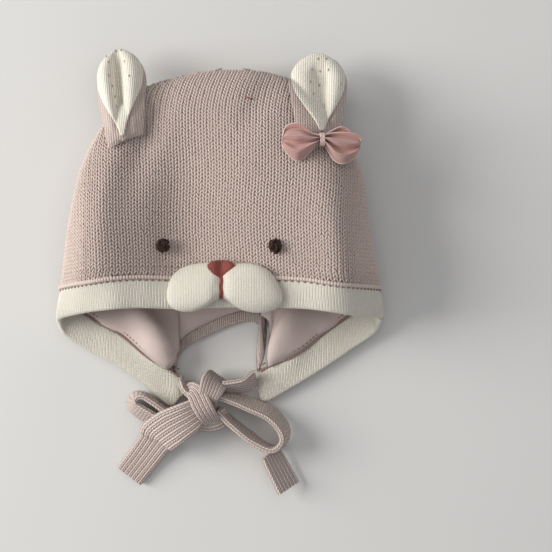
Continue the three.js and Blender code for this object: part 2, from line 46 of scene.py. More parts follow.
# ---------------------------------------------------------------- sizes, in millimetres
Y_SHIFT = 0.75                 # the footprint's middle sits this far from the hat's own zero
KNIT_THICK = 2.0
LINING_DEPTH = (2.9, 3.7)
BAND_WIDTH = 15.0
BAND_THICK = 4.2
HEM_WIDTH = 4.8
HEM_THICK = 3.8
LEAF_FLAT = {"back": (28, 60), "front": (27, 50)}
SQUARENESS = 0.8
TOP_SQUARENESS = 0.55
FLAT_BACK_FROM = 40
EDGE_PULL = 3
NEAR_POLE = 0.15               # above this the skin always faces away from the cap's middle
CAP_MIDDLE = (5, 70, 15)
WALE = 3.4                     # width of one stitch of the shell
COURSE = 2.0                   # height of one stitch of the shell
TIE_THICK = 3.6
RIB = 1.75                     # width of one rib of the band and the hem
RIB_TIE = 2.4                  # width of one rib of the ties
TIE_RIBS = 7
TIE_RELIEF = 0.7               # depth of the grooves between the ribs
TIE_STEPS = 80
TIE_FLOOR = 0.02               # least height above the surface


# ---------------------------------------------------------------- camera, light, surface
CAMERA_HEIGHT = 0.9
CAMERA_OVER = (0.03135, -0.00125)
SEEN_WIDTH = 0.3146            # width of the surface that the camera takes in
SENSOR = 36.0


def set_camera():
    data = bpy.data.cameras.new("camera")
    data.sensor_width = SENSOR
    data.lens = SENSOR * CAMERA_HEIGHT / SEEN_WIDTH
    data.clip_start = 0.05
    data.clip_end = 20
    camera = bpy.data.objects.new("camera", data)
    camera.location = (*CAMERA_OVER, CAMERA_HEIGHT)
    bpy.context.scene.collection.objects.link(camera)
    bpy.context.scene.camera = camera


def soft_light(name, place, aim, size, watts, colour):
    data = bpy.data.lights.new(name, "AREA")
    data.shape = "RECTANGLE"
    data.size, data.size_y = size
    data.energy = watts
    data.color = colour
    light = bpy.data.objects.new(name, data)
    light.location = place
    light.rotation_euler = (Vector(aim) - Vector(place)).to_track_quat("-Z", "Y").to_euler()
    bpy.context.scene.collection.objects.link(light)


def set_light():
    soft_light("window", (-1.35, 0.2, 0.78), (0, 0, 0.02), (0.8, 1.0), 29, (1, 0.985, 0.96))
    soft_light("ceiling", (0.1, 0.3, 1.5), (0, 0, 0), (1.2, 1.2), 4.5, (1, 0.99, 0.98))
    world = bpy.data.worlds.new("room")
    world.use_nodes = True
    back = world.node_tree.nodes["Background"]
    back.inputs["Color"].default_value = (0.93, 0.95, 1, 1)
    back.inputs["Strength"].default_value = 0.37
    bpy.context.scene.world = world
    bpy.context.scene.view_settings.view_transform = "Standard"


FLOOR_Z = -0.0004


def lay_floor():
    half = 3.0
    corners = [(-half, -half, FLOOR_Z), (half, -half, FLOOR_Z), (half, half, FLOOR_Z), (-half, half, FLOOR_Z)]
    mesh = bpy.data.meshes.new("surface")
    mesh.from_pydata(corners, [], [(0, 1, 2, 3)])
    floor = bpy.data.objects.new("surface", mesh)
    bpy.context.scene.collection.objects.link(floor)
    floor.data.materials.append(tabletop())


# ---------------------------------------------------------------- shader building blocks
class Nodes:
    """Short hand for building one node tree."""

    def __init__(self, tree):
        self.tree = tree
        self.nodes = tree.nodes
        self.links = tree.links

    def add(self, kind, settings=None, **inputs):
        node = self.nodes.new(kind)
        for key, value in (settings or {}).items():
            setattr(node, key, value)
        for key, value in inputs.items():
            self.feed(node.inputs[key.replace("_", " ")], value)
        return node

    def feed(self, socket, value):
        if isinstance(value, bpy.types.NodeSocket):
            self.links.new(value, socket)
        else:
            socket.default_value = value

    def math(self, operation, *values):
        node = self.nodes.new("ShaderNodeMath")
        node.operation = operation
        for socket, value in zip(node.inputs, values):
            self.feed(socket, value)
        return node.outputs[0]

    def mix(self, share, first, second, blend="MIX"):
        node = self.nodes.new("ShaderNodeMix")
        node.data_type = "RGBA"
        node.blend_type = blend
        self.feed(node.inputs[0], share)
        self.feed(node.inputs[6], first)
        self.feed(node.inputs[7], second)
        return node.outputs[2]


def group_of(name, inputs, outputs):
    """A shader node group with named sockets: returns it with its builder and its two ends."""
    tree = bpy.data.node_groups.new(name, "ShaderNodeTree")
    for socket_name, kind, default in inputs:
        socket = tree.interface.new_socket(socket_name, in_out="INPUT", socket_type=kind)
        if default is not None:
            socket.default_value = default
    for socket_name, kind in outputs:
        tree.interface.new_socket(socket_name, in_out="OUTPUT", socket_type=kind)
    n = Nodes(tree)
    return tree, n, n.nodes.new("NodeGroupInput"), n.nodes.new("NodeGroupOutput")


FLOAT, VECTOR = "NodeSocketFloat", "NodeSocketVector"


def build_yarn_fibre():
    """Fine hairs and slow colour drift of spun yarn: Tint is around 1, Fuzz is a height."""
    tree, n, ends_in, out = group_of(
        "yarn_fibre",
        [("Drift", FLOAT, 0.12), ("Fibre", FLOAT, 0.3)],
        [("Tint", FLOAT), ("Fuzz", FLOAT)],
    )
    place = n.add("ShaderNodeTexCoord").outputs["Object"]
    slow = n.add("ShaderNodeTexNoise", Vector=place, Scale=28.0, Detail=3.0).outputs["Fac"]
    fleck = n.add("ShaderNodeTexNoise", Vector=place, Scale=900.0, Detail=2.0).outputs["Fac"]
    hair = n.add("ShaderNodeTexNoise", Vector=place, Scale=2600.0, Detail=3.0, Roughness=0.7).outputs["Fac"]
    drift = n.math("MULTIPLY", n.math("SUBTRACT", slow, 0.5), ends_in.outputs["Drift"])
    grain = n.math("MULTIPLY", n.math("SUBTRACT", fleck, 0.5), ends_in.outputs["Fibre"])
    n.links.new(n.math("ADD", 1.0, n.math("ADD", drift, grain)), out.inputs["Tint"])
    n.links.new(hair, out.inputs["Fuzz"])
    return tree


def build_stitches():
    """Rows of nested V stitches over a map counted in stitches: Height, and Gap between legs."""
    tree, n, ends_in, out = group_of(
        "v_stitches",
        [("Map", VECTOR, None), ("Slant", FLOAT, 0.9)],
        [("Height", FLOAT), ("Gap", FLOAT)],
    )
    apart = n.add("ShaderNodeSeparateXYZ", Vector=ends_in.outputs["Map"])
    across = n.math("FRACT", apart.outputs[0])
    from_middle = n.math("MULTIPLY", n.math("ABSOLUTE", n.math("SUBTRACT", across, 0.5)), 2.0)
    from_leg = n.math("ABSOLUTE", n.math("SUBTRACT", from_middle, 0.5))
    leg = n.math("SUBTRACT", 1.0, n.math("POWER", n.math("MULTIPLY", from_leg, 2.0), 2.0))
    slide = n.math("MULTIPLY", from_middle, ends_in.outputs["Slant"])
    down = n.math("FRACT", n.math("SUBTRACT", apart.outputs[1], slide))
    swell = n.math("SINE", n.math("MULTIPLY", down, math.pi))
    height = n.math("MULTIPLY", leg, n.math("ADD", 0.35, n.math("MULTIPLY", swell, 0.65)))
    n.links.new(height, out.inputs["Height"])
    n.links.new(n.math("SUBTRACT", 1.0, height), out.inputs["Gap"])
    return tree


GROUPS = {}


def use_group(n, name, **inputs):
    if name not in GROUPS:
        GROUPS[name] = {"yarn_fibre": build_yarn_fibre, "v_stitches": build_stitches}[name]()
    node = n.nodes.new("ShaderNodeGroup")
    node.node_tree = GROUPS[name]
    for key, value in inputs.items():
        n.feed(node.inputs[key], value)
    return node


def fresh_material(name):
    material = bpy.data.materials.new(name)
    material.use_nodes = True
    n = Nodes(material.node_tree)
    shader = material.node_tree.nodes["Principled BSDF"]
    return material, n, shader


def tabletop():
    material, n, shader = fresh_material("pale_tabletop")
    place = n.add("ShaderNodeTexCoord").outputs["Object"]
    cloud = n.add("ShaderNodeTexNoise", Vector=place, Scale=3.0, Detail=2.0).outputs["Fac"]
    colour = n.mix(cloud, (0.63, 0.62, 0.60, 1), (0.66, 0.65, 0.63, 1))
    n.links.new(colour, shader.inputs["Base Color"])
    shader.inputs["Roughness"].default_value = 0.75
    shader.inputs["Specular IOR Level"].default_value = 0.2
    return material


def yarn(name, colour, shade, drift=0.12, fibre=0.3, fuzz=0.35, sheen=0.25, knit=None, rough=0.9):
    """Spun yarn. knit=(stitch width, stitch height, depth) in millimetres adds V stitches over the UV map, as
    a bump and as painted shade: the shade colour mixed into the gaps between their legs.
    """
    material, n, shader = fresh_material(name)
    wool = use_group(n, "yarn_fibre", Drift=drift, Fibre=fibre)
    tinted = n.mix(1.0, (*colour, 1), wool.outputs["Tint"], "MULTIPLY")
    height = n.math("MULTIPLY", wool.outputs["Fuzz"], fuzz)
    if knit:
        uv = n.add("ShaderNodeUVMap", {"uv_map": "stitch"}).outputs[0]
        size = n.add("ShaderNodeVectorMath", {"operation": "DIVIDE"})
        n.links.new(uv, size.inputs[0])
        size.inputs[1].default_value = (knit[0], knit[1], 1)
        rows = use_group(n, "v_stitches", Map=size.outputs[0])
        # painted shade: the gaps between the stitch legs are mixed towards the shade colour
        gap_shade = n.math("POWER", rows.outputs["Gap"], 2.0)
        tinted = n.mix(n.math("MULTIPLY", gap_shade, 0.75), tinted, (*shade, 1))
        height = n.math("ADD", height, n.math("MULTIPLY", rows.outputs["Height"], knit[2]))
    n.links.new(tinted, shader.inputs["Base Color"])
    bump = n.add("ShaderNodeBump", Height=height)
    bump.inputs["Strength"].default_value = 0.8
    bump.inputs["Distance"].default_value = 0.4 * MM
    n.links.new(bump.outputs[0], shader.inputs["Normal"])
    shader.inputs["Roughness"].default_value = rough
    shader.inputs["Specular IOR Level"].default_value = 0.15
    shader.inputs["Sheen Weight"].default_value = sheen
    shader.inputs["Sheen Roughness"].default_value = 0.5
    return material


TAUPE = (0.595, 0.487, 0.435)
# painted shade for the gaps between taupe stitch legs
TAUPE_GAP_SHADE = (0.24, 0.17, 0.14)
TAUPE_GROUND_SHADE = (0.36, 0.265, 0.225)   # painted shade: the yarn behind the stitches, painted darker than the stitches themselves
# the same taupe painted lighter for the ribbed ties, knot and neck hem: painted light on their stitch legs
TAUPE_LIT = (0.74, 0.61, 0.545)
# painted shade for the grooves between the ribbed stitch legs
TAUPE_GROOVE_SHADE = (0.16, 0.105, 0.085)
CREAM = (0.90, 0.86, 0.75)
# painted shade for the gaps between cream stitch legs
CREAM_GAP_SHADE = (0.40, 0.33, 0.25)
# the taupe back leaf seen through the eyelets, darkened with painted shade
EYELET_HOLE_SHADE = (0.34, 0.30, 0.24)
JERSEY = (0.66, 0.545, 0.50)
# painted shade for the gaps between the lining's stitch legs
JERSEY_GAP_SHADE = (0.42, 0.32, 0.29)
# dark seam thread of the lining, also the painted shade of the holes in the linking row
SEAM_THREAD_AND_HOLE_SHADE = (0.27, 0.18, 0.155)
RED = (0.27, 0.072, 0.055)
BROWN = (0.034, 0.016, 0.010)
PINK = (0.45, 0.25, 0.22)
PINK_LIGHT = (0.66, 0.48, 0.44)


LOOKS = {
    "taupe_yarn": dict(colour=TAUPE, shade=TAUPE_GAP_SHADE),
    "taupe_ground_shade": dict(colour=TAUPE_GROUND_SHADE, shade=TAUPE_GAP_SHADE),
    "taupe_fine_knit": dict(colour=TAUPE_LIT, shade=TAUPE_GROOVE_SHADE, knit=(RIB_TIE, 1.9, 3.2)),
    "taupe_ear_knit": dict(colour=TAUPE, shade=TAUPE_GAP_SHADE, knit=(2.6, 1.8, 1.5)),
    "cream_fine_knit": dict(colour=CREAM, shade=CREAM_GAP_SHADE, knit=(RIB, 1.35, 1.7)),
    "pink_edge": dict(colour=PINK_LIGHT, shade=PINK, fibre=0.15, sheen=0.3, rough=0.6),
    "cream_ear_knit": dict(colour=CREAM, shade=CREAM_GAP_SHADE, knit=(2.0, 1.5, 1.3)),
    "pink_jersey": dict(colour=JERSEY, shade=JERSEY_GAP_SHADE, fibre=0.12, fuzz=0.2, knit=(0.8, 0.6, 0.3)),
    "seam_thread_and_hole_shade": dict(colour=SEAM_THREAD_AND_HOLE_SHADE, shade=JERSEY, fibre=0.2, sheen=0.05),
    "eyelet_shade": dict(colour=EYELET_HOLE_SHADE, shade=CREAM_GAP_SHADE, fibre=0.2, sheen=0.0),
    "red_floss": dict(colour=RED, shade=RED, fibre=0.2, sheen=0.1, rough=0.5),
    "brown_floss": dict(colour=BROWN, shade=BROWN, fibre=0.3, sheen=0.05, rough=0.5),
    "pink_ribbon": dict(colour=PINK, shade=PINK, fibre=0.15, sheen=0.4, rough=0.6),
}


# ---------------------------------------------------------------- meshes
def mesh_piece(name, points, faces, finish, uv=None, replaces=()):
    """Points in millimetres, faces as index rows, uv one pair for each point."""
    mesh = bpy.data.meshes.new(name)
    points = np.asarray(points, float) * MM
    faces = [np.asarray(f, int) for f in (faces if isinstance(faces, (list, tuple)) else [faces])]
    faces = [f for f in faces if len(f)]
    corner = np.concatenate([f.ravel() for f in faces])
    sizes = np.concatenate([np.full(len(f), f.shape[1]) for f in faces])
    mesh.vertices.add(len(points))
    mesh.vertices.foreach_set("co", points.ravel())
    mesh.loops.add(len(corner))
    mesh.loops.foreach_set("vertex_index", corner)
    mesh.polygons.add(len(sizes))
    mesh.polygons.foreach_set("loop_start", np.concatenate([[0], np.cumsum(sizes)[:-1]]))
    mesh.polygons.foreach_set("loop_total", sizes)
    mesh.update(calc_edges=True)
    mesh.validate()
    if uv is not None:
        if len(uv) < len(points):
            uv = np.vstack([uv, uv[:1], uv[-1:]])          # the middles of the two end caps
        layer = mesh.uv_layers.new(name="stitch")
        layer.data.foreach_set("uv", np.asarray(uv, float)[corner].ravel())
    mesh.polygons.foreach_set("use_smooth", np.full(len(mesh.polygons), True))
    piece = bpy.data.objects.new(name, mesh)
    bpy.context.scene.collection.objects.link(piece)
    piece.data.materials.append(finish)
    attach(piece, BODY)
    if replaces:
        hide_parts(*replaces)
    return piece


def skin_of(rings):
    """Closed body through equal rings (rows, points round, 3): points and faces, ends capped by a fan."""
    rings = np.asarray(rings, float)
    rows, count = rings.shape[:2]
    points = rings.reshape(-1, 3)
    ids = np.arange(rows * count).reshape(rows, count)
    a, b = ids[:-1], ids[1:]
    quads = np.stack([a, np.roll(a, -1, 1), np.roll(b, -1, 1), b], -1).reshape(-1, 4)
    first = len(points)
    points = np.vstack([points, rings[0].mean(0), rings[-1].mean(0)])
    low, high = ids[0], ids[-1]
    caps = [np.stack([np.full(count, first), np.roll(low, -1), low], -1),
            np.stack([np.full(count, first + 1), high, np.roll(high, -1)], -1)]
    return facing_out(points, [quads, *caps])


def facing_out(points, faces):
    volume = 0.0
    for f in faces:
        for k in range(1, f.shape[1] - 1):
            a, b, c = points[f[:, 0]], points[f[:, k]], points[f[:, k + 1]]
            volume += (a * np.cross(b, c)).sum()
    if volume < 0:
        faces = [f[:, ::-1] for f in faces]
    return points, faces


def table(columns, rows):
    names = columns.split()
    return {name: np.array([row[i] for row in rows], float) for i, name in enumerate(names)}


def smooth(rows, key, at, column):
    """Smooth value of one column at a place along another."""
    x, y = rows[key], rows[column]
    at = np.asarray(at, float)
    i = np.clip(np.searchsorted(x, at, side="left") - 1, 0, len(x) - 2)
    span = x[i + 1] - x[i]
    f = np.clip((at - x[i]) / span, 0, 1)
    before, after = np.maximum(i - 1, 0), np.minimum(i + 2, len(x) - 1)
    m = (y[i + 1] - y[before]) / (x[i + 1] - x[before]) * span
    n = (y[after] - y[i]) / (x[after] - x[i]) * span
    f2, f3 = f * f, f * f * f
    return (2 * f3 - 3 * f2 + 1) * y[i] + (f3 - 2 * f2 + f) * m + (3 * f2 - 2 * f3) * y[i + 1] + (f3 - f2) * n


# ---------------------------------------------------------------- the bag of the hat
STATIONS = table("t y left right top side", [
    [0.00, 113.5, 6, 6, 17, 17],
    [0.05, 112, -10, 23, 25, 16],
    [0.12, 107.5, -29, 39, 33, 16],
    [0.20, 100, -45, 50, 39, 16],
    [0.30, 89, -59, 60, 45, 17],
    [0.42, 73, -70, 71, 50, 18],
    [0.55, 54, -78, 79.5, 53, 19],
    [0.70, 29, -83, 82.5, 55, 20],
    [0.85, 4, -86, 87, 57, 19],
    [1.00, -20, -90, 91, 57.5, 16],
])
EDGE = table("u x y z", [
    [0, 92.5, -24, 15],
    [22, 89, -23.5, 27],
    [38, 74.7, -22.3, 46],
    [52, 60.6, -20.4, 52],
    [64, 45, -18.5, 48.5],
    [78, 22, -18, 44],
    [90, 1.5, -18, 40.5],
    [102, -22, -18.2, 40.5],
    [115, -43, -17.8, 46],
    [128, -60, -19, 48.5],
    [142, -76, -21.5, 38],
    [158, -89, -24, 22],
    [180, -92.5, -27, 13],
    [198, -88.5, -34, 6],
    [217, -75, -42.7, 3],
    [226, -64, -48.2, 3],
    [234, -53.4, -54.5, 3],
    [242, -41, -63.5, 3],
    [248, -29, -73.8, 3],
    [252, -24, -69, 3],
    [255, -26.5, -58.5, 2],
    [257.5, -27.5, -50.5, 1],
    [261, -22, -43, 0],
    [265, -11.5, -36.5, 0],
    [270, 3, -29.5, 0],
    [275, 16.5, -26.5, 0],
    [280.5, 26, -33, 0],
    [283.5, 25.5, -43, 1],
    [287, 22.5, -56.2, 2],
    [291.5, 24, -70.9, 3],
    [299, 40, -63.5, 3],
    [308, 56.2, -54, 3],
    [320, 73.2, -42.7, 3],
    [340, 88.5, -32, 7],
    [360, 92.5, -24, 15],
])
TIP_LEFT, NECK_LEFT, NECK_RIGHT, TIP_RIGHT = 248, 255, 287, 291.5
DENTS = table("x y along across turn depth", [
    [-20, 34, 62, 26, 90, -12],
    [-70, 12, 48, 12, 84, 8],
    [66, 12, 46, 18, 97, 9],
    [-44, 66, 34, 10, 72, -3],
    [-36, 84, 20, 6, 70, -3],
    [20, 92, 24, 8, 60, -1.8],
])
FOLDS = table("x y along across turn height", [
    [-38, -38, 18, 9, -60, 8],
    [41, -35, 18, 9, 66, 6.5],
])


def bells(rows, x, y, size):
    total = np.zeros(np.shape(x))
    for k in range(len(rows["x"])):
        a = math.radians(rows["turn"][k])
        p = (x - rows["x"][k]) * math.cos(a) + (y - rows["y"][k]) * math.sin(a)
        q = (y - rows["y"][k]) * math.cos(a) - (x - rows["x"][k]) * math.sin(a)
        total += rows[size][k] * np.exp(-((p / rows["along"][k]) ** 2) - (q / rows["across"][k]) ** 2)
    return total


def bag_section(u, t):
    a = np.radians(u)
    left, right = smooth(STATIONS, "t", t, "left"), smooth(STATIONS, "t", t, "right")
    top, side = smooth(STATIONS, "t", t, "top"), smooth(STATIONS, "t", t, "side")
    across = np.sign(np.cos(a)) * np.abs(np.cos(a)) ** SQUARENESS
    up = np.sin(a)
    flat = np.minimum(1, -up / math.sin(math.radians(FLAT_BACK_FROM)))
    z_top = side + (top - side) * np.maximum(up, 0) ** TOP_SQUARENESS
    z = np.where(up >= 0, z_top, side * (1 - np.maximum(flat, 0)) ** 2)
    y = smooth(STATIONS, "t", t, "y") + 0 * z
    return np.stack([(left + right) / 2 + (right - left) / 2 * across, y, z], -1)


def edge_point(u):
    return np.stack([smooth(EDGE, "u", u, c) for c in "xyz"], -1)


def skin(u, t):
    """Outer surface of the hat at a place round it (degrees) and down it (0 to 1), unshifted."""
    u, t = np.broadcast_arrays(np.asarray(u, float) % 360, np.asarray(t, float))
    p = bag_section(u, t) + (edge_point(u) - bag_section(u, 1.0)) * (t ** EDGE_PULL)[..., None]
    inland = np.minimum(1, (1 - t) * 8)
    p[..., 2] += np.where((u > 5) & (u < 175), bells(DENTS, p[..., 0], p[..., 1], "depth") * inland, 0)
    p[..., 2] += np.where((u > 190) & (u < 350), bells(FOLDS, p[..., 0], p[..., 1], "height"), 0)
    p[..., 2] = np.maximum(p[..., 2], 0)
    return p


def unit(v):
    return v / np.maximum(np.linalg.norm(v, axis=-1, keepdims=True), 1e-9)


def skin_normal(u, t):
    du, dt = 0.6, 0.012
    t = np.clip(t, 0.03, 1)
    across = skin(u + du, t) - skin(u - du, t)
    down = skin(u, np.minimum(t + dt, 1)) - skin(u, t - dt)
    normal = unit(np.cross(across, down))
    back = (np.asarray(u) % 360 > 205) & (np.asarray(u) % 360 < 335)
    normal[..., 2] = np.where(back, np.minimum(normal[..., 2], -0.7), normal[..., 2])
    outward = ((skin(u, t) - CAP_MIDDLE) * normal).sum(-1)
    turned = (t < NEAR_POLE) & (outward < 0)
    normal = normal * np.where(turned, -1, 1)[..., None]
    return unit(normal)


def inside(u, t, depth):
    """The skin moved in by a depth, in the part's own frame."""
    u, t = np.broadcast_arrays(np.asarray(u, float), np.asarray(t, float))
    p = skin(u, t) - skin_normal(u, t) * np.asarray(depth)[..., None]
    p[..., 1] += Y_SHIFT
    return p


def reach(points, line):
    """Distance from each point to a line of points."""
    a, b = line[:-1], line[1:]
    best = np.full(len(points), np.inf)
    for p, q in zip(a, b):
        run = q - p
        f = np.clip(((points - p) @ run) / (run @ run), 0, 1)
        best = np.minimum(best, np.linalg.norm(points - p - f[:, None] * run, axis=1))
    return best


def evenly_round(start, end, step):
    """Places round the edge from start to end, evenly spaced along the edge."""
    dense = np.linspace(start, end, 2400)
    p = edge_point(dense % 360)
    run = np.concatenate([[0], np.cumsum(np.linalg.norm(np.diff(p, axis=0), axis=1))])
    count = max(2, int(round(run[-1] / step)) + 1)
    return np.interp(np.linspace(0, run[-1], count), run, dense), run[-1]


FACE_EDGE = edge_point(evenly_round(TIP_RIGHT, TIP_LEFT + 360, 3)[0] % 360)
NECK_EDGE = edge_point(evenly_round(NECK_LEFT, NECK_RIGHT, 3)[0])


def down_to(u, spare, *strips):
    """How far down each meridian a surface may come before the strips (edge, width)."""
    u = np.asarray(u, float)
    low, high = np.full(len(u), 0.4), np.ones(len(u))
    for _ in range(18):
        middle = (low + high) / 2
        p = skin(u, middle)
        room = np.min([reach(p, edge) - width for edge, width in strips], axis=0) - spare
        low, high = np.where(room > 0, middle, low), np.where(room > 0, high, middle)
    return low


FACE_STRIP = (FACE_EDGE, BAND_WIDTH)
NECK_STRIP = (NECK_EDGE, HEM_WIDTH)


# ---------------------------------------------------------------- shell, stitches, lining
SHELL_RINGS = 56
GROUND_DEPTH = 1.0             # the ground under the stitches lies this deep
SEAM_SPARE = 0.9


def shell_piece(name, outer, inner, spare, finish, slot, replaces, ripple=None):
    places = evenly_round(0, 360, 2.4)[0][:-1]
    seam = down_to(places, spare, FACE_STRIP, NECK_STRIP)
    share = np.linspace(0, 1, SHELL_RINGS)
    share[0] = 0.006
    u = np.tile(places, (SHELL_RINGS, 1))
    t = share[:, None] * seam[None, :]
    rings = []
    for depth, order in ((outer, slice(None)), (inner, slice(None, None, -1))):
        extra = 0 if ripple is None else ripple(inside(u, t, np.zeros(u.shape)), t)
        rings.append(inside(u, t, depth + extra * np.ones(u.shape))[order])
    points, faces = skin_of(np.concatenate(rings))
    return mesh_piece(name, points, faces, finish, points[:, :2], replaces)


LEG = table("along across rise wide", [
    [-0.50, 0.07, -0.42, 0.36],
    [-0.02, 0.16, 0.20, 0.70],
    [0.52, 0.30, 0.38, 0.74],
    [1.04, 0.43, -0.26, 0.40],
])
LEG_DEPTH = 0.72               # middle of a leg under the skin
LEG_TALL = 0.55
LEG_WIDEST = 0.72
STITCH_WOBBLE = 0.022          # unevenness of the stitches, in stitch sizes


def stitch_places(centre, half):
    """Cells of the knitted sheet round one middle line: place, across, along and out vectors."""
    t = np.linspace(0.012, 1, 900)
    spine = inside(np.full(t.shape, float(centre)), t, np.zeros(t.shape))
    run = np.concatenate([[0], np.cumsum(np.linalg.norm(np.diff(spine, axis=0), axis=1))])
    rows = np.interp(np.arange(0.5 * COURSE, run[-1], COURSE), run, t)
    turn = np.linspace(-half, half, 361)
    cells = []
    lines = []
    for row in rows:
        p = inside(centre + turn, np.full(turn.shape, row), np.zeros(turn.shape))
        girth = np.concatenate([[0], np.cumsum(np.linalg.norm(np.diff(p, axis=0), axis=1))])
        lines.append((row, p, girth - np.interp(0, turn, girth)))
    for (row, p, girth), (_, q, girth_next) in zip(lines[:-1], lines[1:]):
        first = math.ceil(girth[0] / WALE)
        last = math.floor(girth[-1] / WALE)
        at = np.arange(first, last) * WALE + WALE / 2
        u = centre + np.interp(at, girth, turn)
        place = np.stack([np.interp(at, girth, p[:, k]) for k in range(3)], -1)
        below = np.stack([np.interp(at, girth_next, q[:, k]) for k in range(3)], -1)
        side = np.stack([np.interp(at + 1, girth, p[:, k]) for k in range(3)], -1)
        keep = row < down_to(u, SEAM_SPARE - 0.5, FACE_STRIP, NECK_STRIP)
        out = skin_normal(u, np.full(u.shape, row))
        cells.append([v[keep] for v in (place, unit(side - place) * WALE, place - below, out)])
    return [np.concatenate([cell[k] for cell in cells]) for k in range(4)]


def knit_sheet(name, centre, half, finish):
    place, across, up, out = stitch_places(centre, half)
    count = len(place)
    wobble = rng.normal(0, STITCH_WOBBLE, (count, 2))
    corners = []
    ring = np.array([[-1, -0.25], [0, 1], [1, -0.25]])   # a leg's rounded cross-section
    rows = len(LEG["along"])
    for hand in (-1, 1):
        rings = []
        for k in range(rows):
            middle = place + across * (hand * LEG["across"][k] + wobble[:, :1])
            middle = middle + up * (LEG["along"][k] + wobble[:, 1:])
            middle = middle + out * (LEG["rise"][k] - LEG_DEPTH)
            wide = unit(across) * LEG["wide"][k]
            tall = out * LEG_TALL * (0.35 + 0.65 * LEG["wide"][k] / LEG_WIDEST)
            rings.append([middle + wide * a + tall * b for a, b in ring])
        block = np.stack([np.stack(r, 1) for r in rings], 1)
        corners.append(block.reshape(count, -1, 3))
    points = np.concatenate(corners).reshape(-1, 3)
    size = rows * 3
    base = (np.arange(2 * count) * size)[:, None]
    quads = [[3 * k + i, 3 * k + (i + 1) % 3, 3 * k + 3 + (i + 1) % 3, 3 * k + 3 + i]
             for k in range(rows - 1) for i in range(3)]
    tips = [[0, 2, 1], [size - 3, size - 2, size - 1]]
    quads = (base[:, None] + np.array(quads)[None]).reshape(-1, 4)
    tips = (base[:, None] + np.array(tips)[None]).reshape(-1, 3)
    points, faces = facing_out(points, [quads, tips])
    return mesh_piece(name, points, faces, finish)


LINING_FOLDS = table("x y along across turn height", [
    [-36.5, -38, 22, 3.6, -60, 7.5],
    [37, -34, 22, 3.8, 64, 7.5],
    [-62, -30, 16, 5, 20, 1.2],
    [60, -30, 18, 4, -25, 1.5],
    [-14, -12, 30, 5, 78, 1.6],
    [12, -8, 34, 5, 96, 1.6],
    [0, 20, 40, 9, 5, 2.0],
])


def lining_ripple(points, t):
    low = points[..., 2] < 22
    ripple = bells(LINING_FOLDS, points[..., 0], points[..., 1] - Y_SHIFT, "height")
    return np.where(low, ripple, 0) * np.clip((1 - t) * 25, 0, 1)


# ---------------------------------------------------------------- strips along the edge

def edge_strip(name, start, end, strip, thick, finish, replaces, relief=0.28):
    places, length = evenly_round(start, end, RIB / 4)
    u = places % 360
    top = down_to(u, 0, strip)
    along = np.linspace(0, length, len(places))
    rib = relief * (1 - np.abs(np.cos(np.pi * along / RIB)) ** 0.7)
    steps = np.linspace(0, 1, 9)
    t = top[:, None] + (1 - top[:, None]) * steps
    uu = np.repeat(u[:, None], len(steps), 1)
    puff = 0.5 * np.sin(np.pi * steps) ** 0.6
    outer = inside(uu, t, rib[:, None] + 0.5 - puff)
    inner = inside(uu, t, thick - 0.3 - rib[:, None] + puff)
    down = unit(outer[:, -1] - outer[:, -2])
    middle = (outer[:, -1] + inner[:, -1]) / 2
    half = (outer[:, -1] - inner[:, -1]) / 2
    turn = np.linspace(0, np.pi, 7)[1:-1]
    nose = [middle + half * math.cos(a) + down * (thick / 2 * 0.9 - rib[:, None]) * math.sin(a) for a in turn]
    rings = np.concatenate([outer, np.stack(nose, 1), inner[:, ::-1]], 1)
    points, faces = skin_of(rings)
    across = np.concatenate([[0], np.cumsum(np.linalg.norm(np.diff(rings.mean(0), axis=0), axis=1))])
    grid = np.stack(np.broadcast_arrays(along[:, None] + RIB / 2, across[None, :]), -1).reshape(-1, 2)
    points[:, 2] = np.maximum(points[:, 2], 0)
    piece = mesh_piece(name, points, faces, finish, grid, replaces)
    return piece


def beads(name, places, along, across, out, sizes, finish, slot, rings=5, sides=7):
    """Small rounded lumps, each with its own three half-axes."""
    lat = np.linspace(0, np.pi, rings + 2)[1:-1]
    lon = np.linspace(0, 2 * np.pi, sides, endpoint=False)
    ball = [[math.cos(a), math.sin(a) * math.cos(b), math.sin(a) * math.sin(b)] for a in lat for b in lon]
    ball = np.array(ball + [[1, 0, 0], [-1, 0, 0]])
    points = (places[:, None] + along[:, None] * ball[None, :, :1] * sizes[0]
              + across[:, None] * ball[None, :, 1:2] * sizes[1] + out[:, None] * ball[None, :, 2:] * sizes[2])
    quads = [[i * sides + j, i * sides + (j + 1) % sides,
              (i + 1) * sides + (j + 1) % sides, (i + 1) * sides + j]
             for i in range(rings - 1) for j in range(sides)]
    first, last = rings * sides, rings * sides + 1
    tips = [[first, (j + 1) % sides, j] for j in range(sides)]
    tips += [[last, (rings - 1) * sides + j, (rings - 1) * sides + (j + 1) % sides] for j in range(sides)]
    base = (np.arange(len(places)) * (rings * sides + 2))[:, None]
    faces = [(base[:, None] + np.array(f)[None]).reshape(-1, len(f[0])) for f in (quads, tips)]
    points, faces = facing_out(points.reshape(-1, 3), faces)
    return mesh_piece(name, points, faces, finish)


def seam_frames(start, end, step, depth, offset, strip):
    """Places along a strip's inner seam with their run, across and out directions."""
    places, _ = evenly_round(start, end, step)
    u = places % 360
    t = down_to(u, offset, strip)
    p = inside(u, t, np.full(u.shape, depth))
    out = skin_normal(u, t)
    run = unit(np.gradient(p, axis=0))
    return p, run, np.cross(out, run), out


